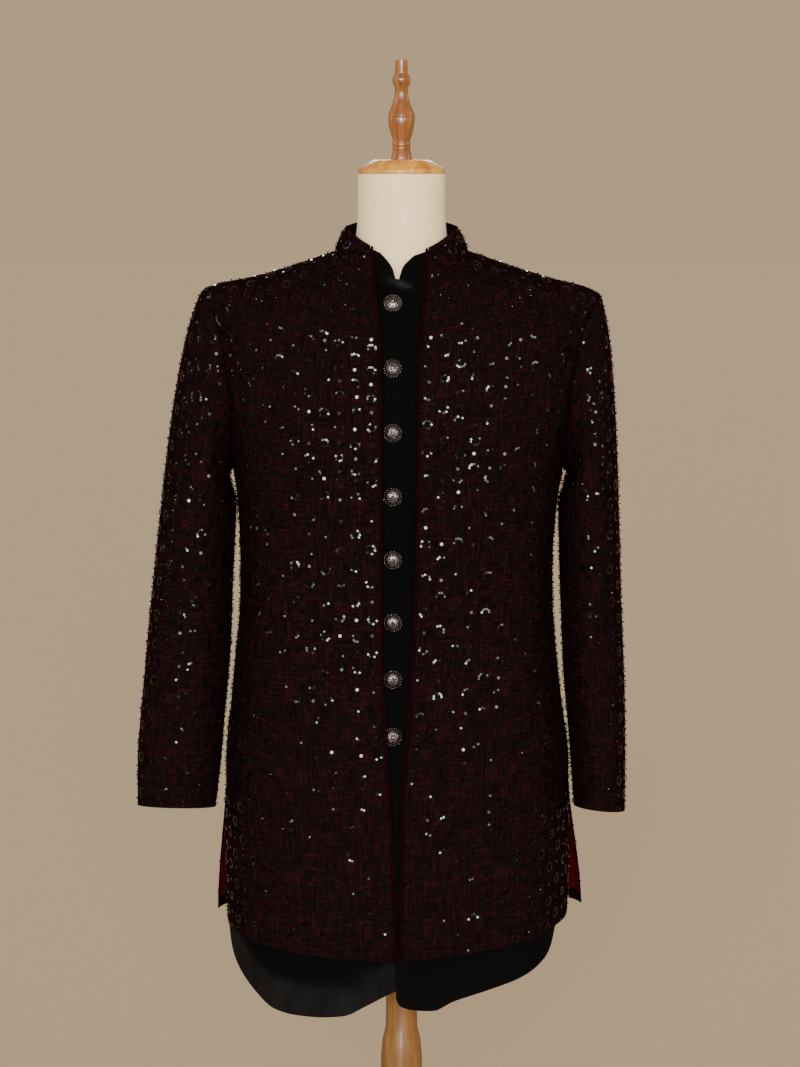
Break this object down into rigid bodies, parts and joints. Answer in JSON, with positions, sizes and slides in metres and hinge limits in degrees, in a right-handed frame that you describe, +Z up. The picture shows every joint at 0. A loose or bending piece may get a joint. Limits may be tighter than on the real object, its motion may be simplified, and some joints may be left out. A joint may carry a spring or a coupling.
{
  "type": "sherwani coat on dress form",
  "caption": "Long open-front sherwani coat with a band collar, side slits and a buttoned velvet front, worn by a limbless dress form on a wooden stand.",
  "frame": {"origin": "centre of the stand base's flat underside, on the floor and on the pole's axis", "axes": "+Z up along the pole, the coat's front faces -Y, +X is the wearer's left"},
  "size_m": [0.5731, 0.38, 1.6684],
  "materials": {
    "sequin_cloth": "near-black maroon cloth set with sequins",
    "velvet": "black cotton velvet",
    "maroon_satin": "satin piping",
    "crimson_lining": "smooth lining satin",
    "gunmetal": "dark antique plating",
    "form_jersey": "cream cotton jersey drawn tight",
    "light_beech": "clear satin varnish",
    "brown_beech": "red-brown gloss varnish"
  },
  "bodies": {
    "root": {"coat_front_left": "sequin_cloth", "coat_front_right": "sequin_cloth", "coat_back": "sequin_cloth", "upper_sleeve_left": "sequin_cloth", "under_sleeve_left": "sequin_cloth", "upper_sleeve_right": "sequin_cloth", "under_sleeve_right": "sequin_cloth", "coat_collar": "sequin_cloth", "piping_left": "maroon_satin", "piping_right": "maroon_satin", "slit_lining_left": "crimson_lining", "slit_lining_right": "crimson_lining", "velvet_front_left": "velvet", "velvet_front_right": "velvet", "velvet_collar": "velvet", "button_1": "gunmetal", "button_2": "gunmetal", "button_3": "gunmetal", "button_4": "gunmetal", "button_5": "gunmetal", "button_6": "gunmetal", "button_7": "gunmetal", "button_8": "gunmetal", "dress_form": "form_jersey", "neck_cap": "light_beech", "finial": "brown_beech", "stand_pole": "light_beech", "stand_base": "light_beech"}
  },
  "joints": []
}
